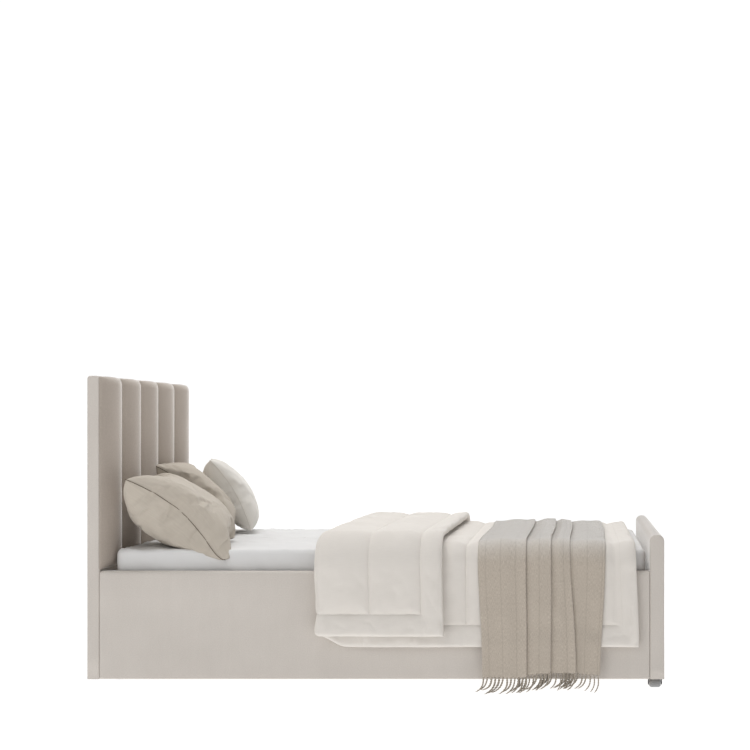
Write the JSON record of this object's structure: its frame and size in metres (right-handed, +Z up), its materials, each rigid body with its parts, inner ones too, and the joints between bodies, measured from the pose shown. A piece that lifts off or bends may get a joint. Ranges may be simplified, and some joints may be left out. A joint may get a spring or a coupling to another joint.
{
  "type": "toddler bed",
  "caption": "Upholstered single bed with a channelled headboard, slatted base, two foot-end casters, mattress, quilt, fringed throw and three pillows.",
  "frame": {"origin": "on the floor below the middle of the bed's bounding box", "axes": "+X from the headboard to the footboard, +Y to the far side, +Z up"},
  "size_m": [1.733, 0.98, 0.954],
  "materials": {
    "upholstery": "short-pile velvet-like upholstery, warm light greige",
    "board": "plain chipboard, hidden inside the upholstery",
    "birch": "birch ply and planed timber, satin lacquer",
    "zinc_steel": "zinc-plated steel",
    "black_steel": "black powder coat, satin",
    "black_plastic": "moulded black nylon, matte",
    "grey_plastic": "grey soft tread, matte",
    "mattress_ticking": "white knitted ticking",
    "white_sheet": "white percale cotton, matte",
    "cream_duvet": "off-white washed cotton, quilted, matte",
    "beige_throw": "beige melange wool-like weave with fringe",
    "beige_linen": "beige washed linen, matte",
    "light_linen": "pale grey-beige linen, matte"
  },
  "bodies": {
    "frame": {"headboard_core": "board", "headboard_cover": "upholstery", "headboard_channel_1": "upholstery", "headboard_channel_2": "upholstery", "headboard_channel_3": "upholstery", "headboard_channel_4": "upholstery", "headboard_channel_5": "upholstery", "footboard_core": "board", "footboard_cover": "upholstery", "rail_core_near": "board", "rail_cover_near": "upholstery", "slat_ledge_near": "birch", "rail_core_far": "board", "rail_cover_far": "upholstery", "slat_ledge_far": "birch", "centre_beam": "birch", "beam_bracket_head": "zinc_steel", "beam_bracket_foot": "zinc_steel", "centre_leg": "black_steel", "centre_leg_pad": "grey_plastic", "slat_1": "birch", "slat_2": "birch", "slat_3": "birch", "slat_4": "birch", "slat_5": "birch", "slat_6": "birch", "slat_7": "birch", "slat_8": "birch", "slat_9": "birch", "slat_10": "birch", "slat_11": "birch", "slat_12": "birch", "corner_bracket_head_near": "zinc_steel", "corner_bolt_head_near": "zinc_steel", "corner_bracket_head_far": "zinc_steel", "corner_bolt_head_far": "zinc_steel", "corner_bracket_foot_near": "zinc_steel", "corner_bolt_foot_near": "zinc_steel", "corner_bracket_foot_far": "zinc_steel", "corner_bolt_foot_far": "zinc_steel", "head_foot_near": "black_plastic", "head_foot_far": "black_plastic", "caster_plate_near": "black_steel", "caster_plate_far": "black_steel", "mattress": "mattress_ticking", "fitted_sheet": "white_sheet", "duvet": "cream_duvet", "throw_blanket": "beige_throw", "pillow_front": "beige_linen", "pillow_back": "beige_linen", "pillow_small": "light_linen"},
    "caster_fork_near": {"caster_fork_near": "black_steel", "caster_axle_near": "zinc_steel"},
    "caster_wheel_near": {"caster_wheel_near": "grey_plastic"},
    "caster_fork_far": {"caster_fork_far": "black_steel", "caster_axle_far": "zinc_steel"},
    "caster_wheel_far": {"caster_wheel_far": "grey_plastic"}
  },
  "joints": [
    {"name": "caster_swivel_near", "type": "hinge", "parent": "frame", "child": "caster_fork_near", "pos_m": [0.844, -0.345, 0.036], "axis": [0, 0, 1], "continuous": true},
    {"name": "caster_roll_near", "type": "hinge", "parent": "caster_fork_near", "child": "caster_wheel_near", "pos_m": [0.844, -0.34, 0.015], "axis": [1, 0, 0], "continuous": true},
    {"name": "caster_swivel_far", "type": "hinge", "parent": "frame", "child": "caster_fork_far", "pos_m": [0.844, 0.345, 0.036], "axis": [0, 0, 1], "continuous": true},
    {"name": "caster_roll_far", "type": "hinge", "parent": "caster_fork_far", "child": "caster_wheel_far", "pos_m": [0.844, 0.35, 0.015], "axis": [1, 0, 0], "continuous": true}
  ]
}
